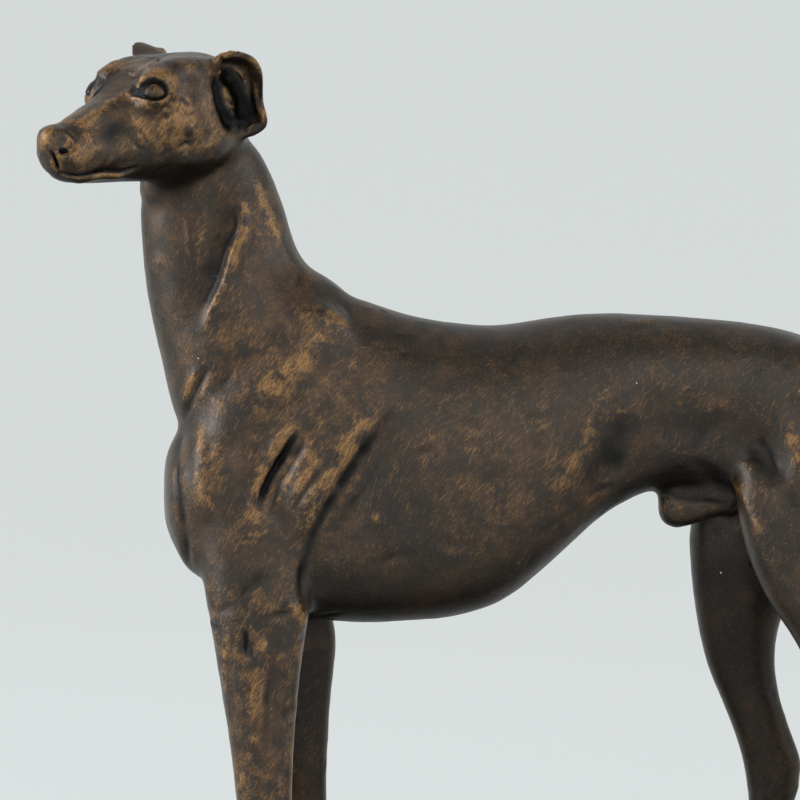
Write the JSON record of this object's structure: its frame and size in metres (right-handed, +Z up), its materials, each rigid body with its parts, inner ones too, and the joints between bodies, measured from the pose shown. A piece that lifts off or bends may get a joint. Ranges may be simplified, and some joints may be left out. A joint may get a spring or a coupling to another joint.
{
  "type": "greyhound statue",
  "caption": "Standing greyhound figure with its head turned to its left, patinated cold-cast bronze, on a low rounded plinth.",
  "frame": {"origin": "middle of the plinth's underside", "axes": "+Z up; the greyhound stands along X and faces -X; its left side, which the picture shows, faces -Y"},
  "size_m": [0.2306, 0.0692, 0.233],
  "materials": {
    "patinated_bronze": "satin dark brown patina, rubbed gold-brown on the high places and near black in the hollows",
    "dark_bronze": "satin dark brown patina"
  },
  "bodies": {
    "root": {"greyhound": "patinated_bronze", "plinth": "dark_bronze"}
  },
  "joints": []
}
